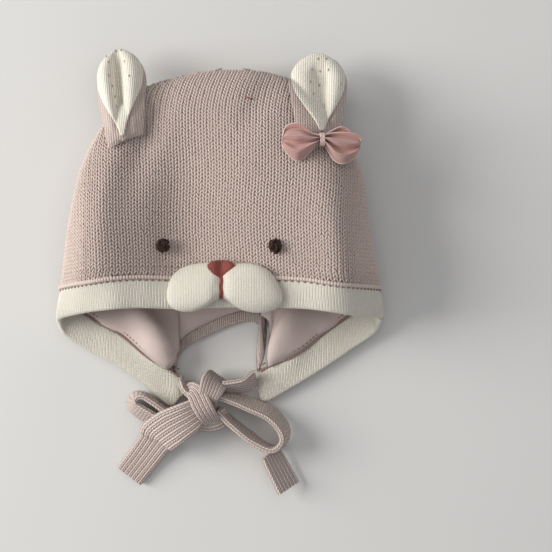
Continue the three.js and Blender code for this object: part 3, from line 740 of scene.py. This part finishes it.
# ---------------------------------------------------------------- what lies on the top sheet
def top_surface():
    u = np.linspace(-8, 188, 150)
    t = np.linspace(0.01, 1, 120)
    uu, tt = np.meshgrid(u, t)
    points = inside(uu, tt, np.zeros(uu.shape))
    ids = np.arange(points[..., 0].size).reshape(uu.shape)
    quads = np.stack([ids[:-1, :-1], ids[:-1, 1:], ids[1:, 1:], ids[1:, :-1]], -1).reshape(-1, 4)
    return BVHTree.FromPolygons([tuple(p) for p in points.reshape(-1, 3)], [tuple(q) for q in quads])


TOP = top_surface()


ABOVE_ALL = 200                # a height above everything


def top_height(x, y, middle=None):
    """Height of the top sheet. Past its edge it is the height found on the way to the middle."""
    shares = [0.0] if middle is None else [0.0, *np.linspace(0.05, 1, 20)]
    middle = (x, y) if middle is None else middle
    for f in shares:
        start = Vector((x + (middle[0] - x) * f, y + (middle[1] - y) * f, ABOVE_ALL))
        hit = TOP.ray_cast(start, Vector((0, 0, -1)))[0]
        if hit is not None:
            return hit.z
    return 0.0 if len(shares) > 1 else -math.inf


def round_curve(points, count):
    """Closed smooth curve through points, evenly spaced."""
    p = np.asarray(points, float)
    n = len(p)
    dense = []
    for i in range(n):
        a, b, c, d = p[i - 1], p[i], p[(i + 1) % n], p[(i + 2) % n]
        for f in np.linspace(0, 1, 16, endpoint=False):
            dense.append(0.5 * (2 * b + (c - a) * f + (2 * a - 5 * b + 4 * c - d) * f**2
                                + (3 * b - a - 3 * c + d) * f**3))
    dense = np.array(dense + [dense[0]])
    run = np.concatenate([[0], np.cumsum(np.linalg.norm(np.diff(dense, axis=0), axis=1))])
    at = np.linspace(0, run[-1], count, endpoint=False)
    return np.stack([np.interp(at, run, dense[:, k]) for k in range(p.shape[1])], -1)


def open_curve(points, count):
    p = np.asarray(points, float)
    p = np.vstack([2 * p[0] - p[1], p, 2 * p[-1] - p[-2]])
    f = np.linspace(0, len(p) - 3, count)
    i = np.minimum(f.astype(int), len(p) - 4)
    f = (f - i)[:, None]
    a, b, c, d = p[i], p[i + 1], p[i + 2], p[i + 3]
    return 0.5 * (2 * b + (c - a) * f + (2 * a - 5 * b + 4 * c - d) * f**2 + (3 * b - a - 3 * c + d) * f**3)


MUZZLE = [
    [1.6, 5.2], [11, 5], [21, 4.2], [28, 0.5], [33, -7], [35, -15], [31, -20], [23.5, -22], [13, -20.5],
    [1.8, -14.5], [-9, -20], [-17, -21.6], [-25, -19.5], [-28, -13], [-26, -3.5], [-20, 2.5], [-10, 5],
]
MUZZLE_RISE = 9.5
MUZZLE_TOP, LIP = 5.2, -14.5   # where the valley between the lobes starts and ends
PHILTRUM_X = 1.8
PHILTRUM_LIFT = 1.55


def muzzle_rise(x, y, f):
    """Height of the padding: two lobes with a valley that deepens towards the lip."""
    valley = math.exp(-(((x - PHILTRUM_X) / 3.2) ** 2)) * (0.30 + 0.25 * min(1, max(0, (2 - y) / 18)))
    return MUZZLE_RISE * (1 - f**2.4) ** 0.5 * (1 - valley)


def make_muzzle(finish):
    rim = round_curve(MUZZLE, 160)
    middle = rim.mean(0)
    rings = []
    for f in (0.93, 1.0):
        for_ring = middle + (rim - middle) * f
        lift = 0.5 if f < 1 else 2.2
        rings.append([[x, y + Y_SHIFT, top_height(x, y + Y_SHIFT, middle) + lift] for x, y in for_ring])
    for f in (0.985, 0.95, 0.9, 0.83, 0.74, 0.64, 0.53, 0.42, 0.31, 0.2, 0.1, 0.02):
        for_ring = middle + (rim - middle) * f
        rings.append([[x, y + Y_SHIFT, top_height(x, y + Y_SHIFT, middle) + 1.0 + muzzle_rise(x, y, f)]
                      for x, y in for_ring])
    points, faces = skin_of(rings)
    piece = mesh_piece("muzzle_pad", points, faces, finish, points[:, :2], ["muzzle"])
    return piece


def thread(points, radius, sides=6):
    """Rings of a round thread along points."""
    p = np.asarray(points, float)
    run = unit(np.gradient(p, axis=0))
    side = unit(np.cross(run, [0.03, 0.05, 1]))
    up = np.cross(side, run)
    turn = np.linspace(0, 2 * np.pi, sides, endpoint=False)
    radius = np.broadcast_to(radius, len(p))
    return np.stack([p + radius[:, None] * (side * math.cos(a) + up * math.sin(a)) for a in turn], 1)


def threads(name, routes, radius, finish, replaces=(), sides=6):
    """Several threads as one mesh; radius is one number or one for each route."""
    all_points, quads, tris, base = [], [], [], 0
    radii = radius if isinstance(radius, list) else [radius] * len(routes)
    for route, r in zip(routes, radii):
        points, faces = skin_of(thread(route, r, sides))
        all_points.append(points)
        for f in faces:
            (quads if f.shape[1] == 4 else tris).append(f + base)
        base += len(points)
    return mesh_piece(name, np.concatenate(all_points), [np.concatenate(quads), np.concatenate(tris)],
                      finish, None, replaces)


NOSE_TOP, NOSE_TIP, NOSE_HALF = 6.3, -4.0, 7.4


def make_nose(finish):
    pad_z = top_height(PHILTRUM_X, 0, (0, 0)) + 1.0
    routes = []
    for k, x in enumerate(np.arange(-NOSE_HALF + 0.4, NOSE_HALF, 0.62)):
        share = abs(x) / NOSE_HALF
        top = NOSE_TOP - 2.6 * share**3
        low = NOSE_TIP + (NOSE_TOP - NOSE_TIP - 3.4) * share**1.25
        y = np.linspace(top, low, 12)
        dome = 2.4 * np.sqrt(np.clip(1 - share**2, 0.05, 1))
        bow = np.sin(np.linspace(0, np.pi, 12)) ** 0.5
        z = [pad_z + muzzle_rise(PHILTRUM_X + x, yy, 0.3) * 0.86 - 1.2 + dome * b for yy, b in zip(y, bow)]
        routes.append(np.stack([np.full(12, PHILTRUM_X + x), y + Y_SHIFT + 0.15 * (-1) ** k, z], -1))
    return threads("nose_stitches", routes, 0.46, finish, ["nose"])


def make_philtrum(finish):
    middle = round_curve(MUZZLE, 160).mean(0)[1]
    routes = []
    for x in (-0.5, 0.45):
        y = np.linspace(NOSE_TIP + 1.5, -14.3, 18)
        z = []
        for yy in y:
            f = (yy - middle) / (MUZZLE_TOP - middle) if yy > middle else (middle - yy) / (middle - LIP)
            rise = muzzle_rise(PHILTRUM_X, yy, min(f, 0.97))
            z.append(top_height(PHILTRUM_X, yy + Y_SHIFT, (0, 0)) + PHILTRUM_LIFT + rise)
        routes.append(np.stack([PHILTRUM_X + x + 0.3 * np.sin(y), y + Y_SHIFT, z], -1))
    return threads("philtrum_stitch", routes, 0.5, finish)


def make_stray_fibre(finish):
    """A short red fibre caught in the knitting near the crown."""
    x = np.linspace(15, 18.6, 9)
    y = 95.6 + 0.5 * np.sin(x * 1.7)
    z = [top_height(a, b) + 0.45 for a, b in zip(x, y)]
    threads("stray_red_fibre", [np.stack([x, y, z], -1)], 0.3, finish)


def make_eye(name, node, x, y, finish, turn):
    """Coiled embroidery knot: loops of thick thread wound over each other."""
    z = top_height(x, y) + 0.8
    routes = []
    for k in range(7):
        a = turn + k * 2.4
        tilt = 0.25 + 0.13 * (k % 3)
        size = 2.5 - 0.14 * k
        s = np.linspace(0, 2 * np.pi * 0.92, 22)
        lean = np.array([math.cos(a), math.sin(a)])
        px = x + size * np.cos(s + a) + 1.0 * lean[0]
        py = y + size * 1.08 * np.sin(s + a) + 1.0 * lean[1]
        pz = z + 0.35 + 0.42 * k + tilt * size * np.sin(s) * 0.5
        routes.append(np.stack([px, py, pz], -1))
    threads(name, routes, 0.75, finish, [node], 7)


# ---------------------------------------------------------------- ears
EAR_SHAPE = table("v wide cup front", [
    [0, 9.8, 3.2, 0.04],
    [0.12, 11, 4.5, 0.25],
    [0.28, 12.2, 5.2, 0.58],
    [0.48, 13.6, 5.2, 0.84],
    [0.66, 14.2, 4.6, 0.92],
    [0.8, 12.8, 3.6, 0.95],
    [0.91, 9.2, 2.2, 0.95],
    [0.98, 4.2, 0.8, 0.93],
    [1, 1.6, 0.3, 0.9],
])
# crease is where the fold between the rolls runs, slot how wide it is, end how far up it goes and
# skew how much the foot slants.
EARS = {
    "left": dict(base=(-50, 70.5, 38), tip=(-56.5, 123, 17), wide=0.98, roll=1.6,
                 crease=-0.12, slot=0.1, end=0.84, skew=3.2),
    "right": dict(base=(54.5, 73, 38), tip=(54.5, 120.5, 19), wide=1.14, roll=1.0,
                  crease=0.16, slot=0.15, end=0.68, skew=0),
}
EAR_SEAT = 1.9                 # air between the ear's foot and the crown
EAR_THICK = 1.8
LEAF_SPACE = 0.4               # air between the two leaves
FRONT_LENGTH = 0.985           # the cream leaf stops just short of the back one
FRONT_START = 0.04


def ear_frame(ear):
    base, tip = np.array(ear["base"], float), np.array(ear["tip"], float)
    run = tip - base
    side = unit(np.array([run[1], -run[0], 0]))
    return base, run, side, unit(np.cross(side, run))


def crease_at(ear, v):
    """The crease turns towards the middle on its way up."""
    return ear["crease"] * (1 - 0.4 * v)


def ear_roll(ear, v, a):
    """Height of the two soft rolls, one each side of the crease that runs up from the base."""
    crease = crease_at(ear, v)
    slot = ear["slot"] * (0.35 + 1.3 * v)
    half = 1 + (-crease if a > crease else crease)
    q = np.clip((abs(a - crease) / half - slot) / (1 - slot), 0, 1)
    open_top = np.clip((v - ear["end"]) / 0.22, 0, 1)
    rolls = np.sin(np.pi * q ** 0.85) ** 0.7
    dome = 0.9 * (1 - abs(a) ** 2.5)
    return rolls * (1 - open_top) + dome * open_top


def ear_point(ear, v, a, deep):
    """Place on a leaf: v from base to tip, a across from -1 to 1, deep above the back leaf's foot."""
    base, run, side, up = ear_frame(ear)
    wide = ear["wide"] * smooth(EAR_SHAPE, "v", v, "wide")
    lift = ear["roll"] * smooth(EAR_SHAPE, "v", v, "cup") * ear_roll(ear, v, a)
    p = base + run * v + unit(run) * (ear["skew"] * a * (1 - v)) + side * (a * wide) + up * (lift + deep)
    floor = top_height(p[0], p[1] + Y_SHIFT) + deep + EAR_SEAT
    return np.array([p[0], p[1] + Y_SHIFT, max(p[2], floor)])


def make_leaf(name, ear, is_front, finish, replaces):
    start, length = (FRONT_START, FRONT_LENGTH) if is_front else (0, 1)
    stations = np.concatenate([np.linspace(start, 0.9, 40), [0.93, 0.955, 0.975, 0.99, 1.0]])
    low = EAR_THICK + LEAF_SPACE if is_front else 0
    high = low + EAR_THICK
    rings = []
    for v in stations:
        share = smooth(EAR_SHAPE, "v", v, "front") if is_front else 1.0
        middle = crease_at(ear, v) * (1 - share)
        s = np.sin(np.linspace(-np.pi / 2, np.pi / 2, 33))
        places = middle + s * share
        trim = 0.5 * (high - low) * np.abs(s) ** 8
        upper = [ear_point(ear, v * length, a, high - d) for a, d in zip(places, trim)]
        lower = [ear_point(ear, v * length, a, low + d) for a, d in zip(places, trim)]
        rings.append(upper + lower[::-1])
    points, faces = skin_of(rings)
    base, run, side, _ = ear_frame(ear)
    local = points - base
    uv = np.stack([local @ side + 100.7, local @ unit(run)], -1)
    piece = mesh_piece(name, points, faces, finish, uv, replaces)
    width, length = LEAF_FLAT["front" if is_front else "back"]


# How far up the ear and across it each eyelet of the cream leaf sits.
EYELET_HEIGHT = 2 * EAR_THICK + LEAF_SPACE + 0.02
EYELETS = {
    "left": [[0.97, -0.3], [0.96, 0.35], [0.9, -0.75], [0.82, -0.5], [0.8, 0.3], [0.66, -0.45], [0.55, -0.36],
             [0.44, -0.3], [0.34, -0.28], [0.6, 0.45]],
    "right": [[0.9, 0], [0.9, 0.45], [0.76, -0.25], [0.76, 0.08], [0.76, 0.42], [0.6, -0.3], [0.6, 0.05],
              [0.58, 0.85], [0.46, -0.2], [0.46, 0.0]],
}


def make_eyelets(side, ear, finish):
    """The open-work holes of the cream face: small dark beads on the knitting, coloured as the taupe back
    leaf seen through them and darkened with painted shade.
    """
    places = np.array([ear_point(ear, v, a * 0.9, EYELET_HEIGHT) for v, a in EYELETS[side]])
    _, run, across, up = ear_frame(ear)
    count = len(places)
    beads(f"{side}_ear_eyelets", places, np.tile(unit(run), (count, 1)), np.tile(across, (count, 1)),
          np.tile(up, (count, 1)), (0.95, 0.5, 0.22), finish, "cream_knit")


# ---------------------------------------------------------------- straps
def strap_rings(rows, thick, steps, ribs, relief):
    """Rings of a ribbed flat strap; rows are x, y, z, roll, width."""
    rows = np.asarray(rows, float)
    path = open_curve(rows[:, :3], steps)
    at = np.linspace(0, len(rows) - 1, steps)
    roll = np.radians(np.interp(at, np.arange(len(rows)), rows[:, 3]))
    width = np.interp(at, np.arange(len(rows)), rows[:, 4])
    run = unit(np.gradient(path, axis=0))
    side = unit(np.stack([run[:, 1], -run[:, 0], 0 * run[:, 0]], -1))
    up = unit(np.cross(side, run))
    wide = side * np.cos(roll)[:, None] + up * np.sin(roll)[:, None]
    deep = unit(np.cross(wide, run))
    count = ribs * 4 + 1
    s = np.linspace(-1, 1, count)
    rib = relief * (1 - np.abs(np.sin(np.pi * ribs * (s + 1) / 2)) ** 0.7)
    edge = thick / 2 * (1 - np.abs(s) ** 14)
    high = np.maximum(edge - rib, 0.15)
    profile = np.concatenate([np.stack([s, high], -1), np.stack([s[::-1], -high[::-1]], -1)])
    path = path + np.array([0, Y_SHIFT, 0])
    rings = (path[:, None] + wide[:, None] * (profile[None, :, :1] * width[:, None, None] / 2)
             + deep[:, None] * profile[None, :, 1:])
    length = np.concatenate([[0], np.cumsum(np.linalg.norm(np.diff(path, axis=0), axis=1))])
    uv = np.stack(np.broadcast_arrays((profile[None, :, 0] + 1) / 2 * ribs * RIB_TIE, length[:, None]), -1)
    return rings, uv.reshape(-1, 2), length[-1]


def make_tie(node, rows, finish):
    """One stretch of the chin ties."""
    rings, uv, length = strap_rings(rows, TIE_THICK, TIE_STEPS, TIE_RIBS, TIE_RELIEF)
    points, faces = skin_of(rings)
    points[:, 2] = np.maximum(points[:, 2], TIE_FLOOR)
    piece = mesh_piece(f"{node}_rib", points, faces, finish, uv, [node])


# Rows of the ties and the knot: x, y, z, roll (0 lies flat, 90 stands on its edge) and width.
TIES = {
    "tie_tail_left": [
        [-9, -75, 17, 24, 14], [-17, -80.5, 20, 16, 19], [-27, -86.5, 18.5, 8, 22.5],
        [-34.5, -92, 14, 4, 22.5], [-37, -95.5, 7.5, 2, 18.5], [-43.5, -104.5, 4, 0, 17.5],
        [-52, -115.5, 2.3, 0, 17],
    ],
    "tie_loop_left": [
        [-14, -73, 11, 90, 14], [-24, -76.2, 9.6, 90, 15], [-30.5, -77.8, 9.2, 90, 15],
        [-37, -73.6, 9.2, 90, 15.5], [-43.5, -69.6, 9.2, 92, 15.5], [-48.5, -70.6, 9.2, 104, 15.5],
        [-48.5, -75.5, 9, 118, 15.5], [-41, -81, 8.6, 120, 15.5], [-31, -85.5, 8.2, 118, 14],
        [-19, -82, 8, 108, 12],
    ],
    "tie_loop_right": [
        [-1, -69.5, 12, 84, 15], [7, -71.2, 11.5, 76, 16], [18, -75, 11, 70, 17], [28, -79.5, 10.5, 68, 17],
        [35, -87, 10.2, 70, 17], [35.8, -95, 10.2, 80, 17], [29, -99.6, 10, 92, 17], [17, -93, 10, 100, 17],
        [5, -83.5, 10.4, 98, 16], [-2, -77.5, 11, 92, 15],
    ],
    "tie_tail_right": [[28, -102, 8.4, 40, 15], [32, -109.5, 7.4, 38, 16], [38.5, -122, 6.8, 36, 16.5]],
    "tie_lead_left": [[-20.5, -61.5, 9, 66, 12], [-18.5, -65.5, 10.5, 68, 12.5], [-12.5, -70.5, 12, 72, 13]],
    "tie_lead_right": [[19.6, -59.4, 9.4, 50, 13], [13, -63.5, 12, 56, 14], [1, -64.5, 13, 66, 14]],
}


KNOT = {
    "tie_knot_fan": ([[-2, -59.6, 6, 0, 13], [-2.4, -60.2, 12.5, 0, 14.5], [-3.4, -61.8, 18, 0, 15.2],
                      [-4.8, -65.5, 20.8, 0, 13.8], [-6.4, -70, 20, 0, 11], [-7, -75, 15, 0, 10]], 8, 0.9),
    "tie_knot_wrap": ([[-17.2, -68, 8, 12, 9], [-15.4, -66.2, 14.5, 10, 10], [-12.8, -68.2, 19.8, 6, 11],
                       [-10.2, -73, 22.6, 0, 11.6], [-7.6, -78, 21.6, -4, 11], [-5.2, -82.3, 16.5, -8, 10],
                       [-4.2, -84.4, 10, -10, 9.5]], 5, 0.9),
    "tie_knot_foot": ([[-17, -75.5, 9, -50, 10.5], [-14, -81.5, 12, -46, 10.5], [-8, -85, 13, -42, 11],
                       [-1, -83.6, 13, -42, 11], [3.3, -79, 11, -46, 10.5]], 4, 0.7),
}


def make_knot(finish):
    """The knot: a fan of gathered ribs above, the turn across its front and the loop under it."""
    for name, (rows, ribs, relief) in KNOT.items():
        rings, uv, length = strap_rings(rows, TIE_THICK * 1.25, 60, ribs, relief)
        points, faces = skin_of(rings)
        replaced = ["tie_knot"] if name == "tie_knot_wrap" else ()
        piece = mesh_piece(name, points, faces, finish, uv, replaced)


BOW_Z = 54.5
BOW_FLAPS = {
    "bow_left": dict(
        upper=[[55, 73.2], [50.6, 74.4], [45.4, 78.6], [41, 79.6], [36.6, 77.6], [34.8, 72.3]],
        lower=[[54.5, 69.5], [51, 66.2], [46.4, 61.6], [42.2, 60], [37, 64.3], [34.6, 69]],
        pleats=2.5, rise=5.5, lift=0,
    ),
    "bow_right": dict(
        upper=[[57, 73.2], [61, 74.2], [66, 74.6], [71.6, 74.2], [76, 72.6], [76.6, 70]],
        lower=[[57, 69.2], [59.4, 65], [62.5, 60.2], [67.5, 58.4], [73, 61.4], [76.2, 66.6]],
        pleats=2.5, rise=5.5, lift=0,
    ),
    "bow_right_back": dict(
        upper=[[57.5, 73.6], [61.5, 76], [66, 78], [70, 76.6], [72.4, 74]],
        lower=[[57.5, 72], [61.5, 71.5], [66, 71], [69.5, 71], [72.4, 72.8]],
        pleats=1.5, rise=2.5, lift=-4,
    ),
}
BOW_THICK = 1.1
BOW_RIBS = 11                  # fine ribs across a flap
PLEAT_DEPTH = 3.2
FLAP_STEPS, FLAP_ACROSS = 40, 57
WRAP_X, WRAP_Y, WRAP_Z = 55.9, 71, 55.5
WRAP_PITCH = 0.62


def make_bow(finish):
    """Flaps between an upper and a lower outline, puffed and pleated, and the thread round them."""
    for name, flap in BOW_FLAPS.items():
        f = np.linspace(0, 1, FLAP_STEPS)
        upper, lower = (open_curve(flap[side], FLAP_STEPS) for side in ("upper", "lower"))
        a = np.linspace(0, 1, FLAP_ACROSS)
        rings, grid = [], []
        for k in range(FLAP_STEPS):
            line = upper[k] + (lower[k] - upper[k]) * a[:, None]
            open_out = math.sin(math.pi * min(1, 0.12 + 0.88 * f[k])) ** 0.6
            puff = flap["rise"] * np.sin(np.pi * np.clip(a, 0, 1)) ** 0.6 * open_out
            fold = PLEAT_DEPTH * np.cos(2 * np.pi * flap["pleats"] * a + 0.5) * (1 - 0.6 * f[k])
            rib = 0.22 * np.cos(2 * np.pi * BOW_RIBS * a)
            z = BOW_Z + flap["lift"] + puff + fold + rib
            top = np.column_stack([line[:, 0], line[:, 1] + Y_SHIFT, z])
            rings.append(np.concatenate([top, top[::-1] - [0, 0, BOW_THICK]]))
            grid.append(np.column_stack([np.concatenate([a, a[::-1]]) * 18, np.full(2 * len(a), f[k] * 20)]))
        points, faces = skin_of(rings)
        replaced = [name] if name in ("bow_left", "bow_right") else ()
        piece = mesh_piece(f"{name}_loop", points, faces, finish["pink_ribbon"],
                           np.concatenate(grid), replaced)
        rim = [np.column_stack([line[:, 0], line[:, 1] + Y_SHIFT]) for line in (upper, lower)]
        heights = [np.array([ring[i][2] for ring in rings]) for i in (0, FLAP_ACROSS - 1)]
        routes = [np.column_stack([r, h - BOW_THICK / 2]) for r, h in zip(rim, heights)]
        routes.append(rings[-1][:FLAP_ACROSS] - [0, 0, BOW_THICK / 2])
        threads(f"{name}_edge", routes, 0.42, finish["pink_edge"])
    turns = []
    for k in range(4):
        a = np.linspace(0, 2 * np.pi * 0.97, 28)
        x = WRAP_X + (k - 1.5) * WRAP_PITCH
        y, z = WRAP_Y + Y_SHIFT + 3.2 * np.cos(a), WRAP_Z + 4.2 * np.sin(a)
        turns.append(np.stack([x + 0.3 * np.sin(a), y, z], -1))
    threads("bow_wrap_thread", turns, 0.5, finish["pink_edge"], ["bow_wrap"])


# Rows of small lumps along the band: how far they stop short of its ends, the step between two, how
# deep they lie, how far inside the band's edge and their half-axes.
SEAM_ROWS = {
    "linking_ridge": dict(inset=0, step=RIB, depth=-0.1, offset=0.3, sizes=(1.05, 1.35, 0.95),
                          finish="taupe_yarn", slot="taupe_knit"),
    # dark beads for the holes of the linking row: painted shade
    "linking_holes": dict(inset=0, step=3.7, depth=0.15, offset=-1.3, sizes=(0.85, 0.6, 0.4),
                          finish="seam_thread_and_hole_shade", slot="taupe_knit"),
    "lining_seam": dict(inset=3, step=1.4, depth=4.0, offset=0.2, sizes=(0.8, 0.8, 0.6),
                        finish="seam_thread_and_hole_shade", slot="pink_jersey"),
    "lining_stitch_row": dict(inset=3, step=2.6, depth=3.6, offset=2.8, sizes=(0.9, 0.5, 0.45),
                              finish="seam_thread_and_hole_shade", slot="pink_jersey"),
}

# ---------------------------------------------------------------- assembly
set_camera()
set_light()
lay_floor()
finish = {name: yarn(name, **look) for name, look in LOOKS.items()}

# the ground under the stitch legs is dark with painted shade
ground = shell_piece("knit_ground", GROUND_DEPTH, KNIT_THICK, SEAM_SPARE, finish["taupe_ground_shade"],
                     "taupe_knit", ["crown"])
front = knit_sheet("knit_front", 90, 90, finish["taupe_yarn"])
back = knit_sheet("knit_back", 270, 90, finish["taupe_yarn"])
lining = shell_piece("jersey_lining", *LINING_DEPTH, 0.2, finish["pink_jersey"], "pink_jersey", ["lining"],
                     lining_ripple)

edge_strip("brim_rib", NECK_RIGHT, NECK_LEFT + 360, FACE_STRIP, BAND_THICK, finish["cream_fine_knit"],
                  ["brim_band"])
edge_strip("neck_rib", NECK_LEFT + 0.4, NECK_RIGHT - 0.4, NECK_STRIP, HEM_THICK, finish["taupe_fine_knit"],
                 ["neck_hem"])

for name, row in SEAM_ROWS.items():
    start, end = NECK_RIGHT + row["inset"], NECK_LEFT + 360 - row["inset"]
    frames = seam_frames(start, end, row["step"], row["depth"], row["offset"], FACE_STRIP)
    beads(name, *frames, row["sizes"], finish[row["finish"]], row["slot"])

make_muzzle(finish["cream_fine_knit"])
make_nose(finish["red_floss"])
make_philtrum(finish["red_floss"])
make_stray_fibre(finish["red_floss"])
make_eye("left_eye_knot", "eye_left", -30.3, 14.5 + Y_SHIFT, finish["brown_floss"], 0.4)
make_eye("right_eye_knot", "eye_right", 31, 14 + Y_SHIFT, finish["brown_floss"], 2.1)

for side, ear in EARS.items():
    make_leaf(f"{side}_ear_back", ear, False, finish["taupe_ear_knit"], [f"ear_{side}_back"])
    make_leaf(f"{side}_ear_front", ear, True, finish["cream_ear_knit"], [f"ear_{side}_front"])
    make_eyelets(side, ear, finish["eyelet_shade"])

for node, rows in TIES.items():
    make_tie(node, rows, finish["taupe_fine_knit"])
make_knot(finish["taupe_fine_knit"])
make_bow(finish)
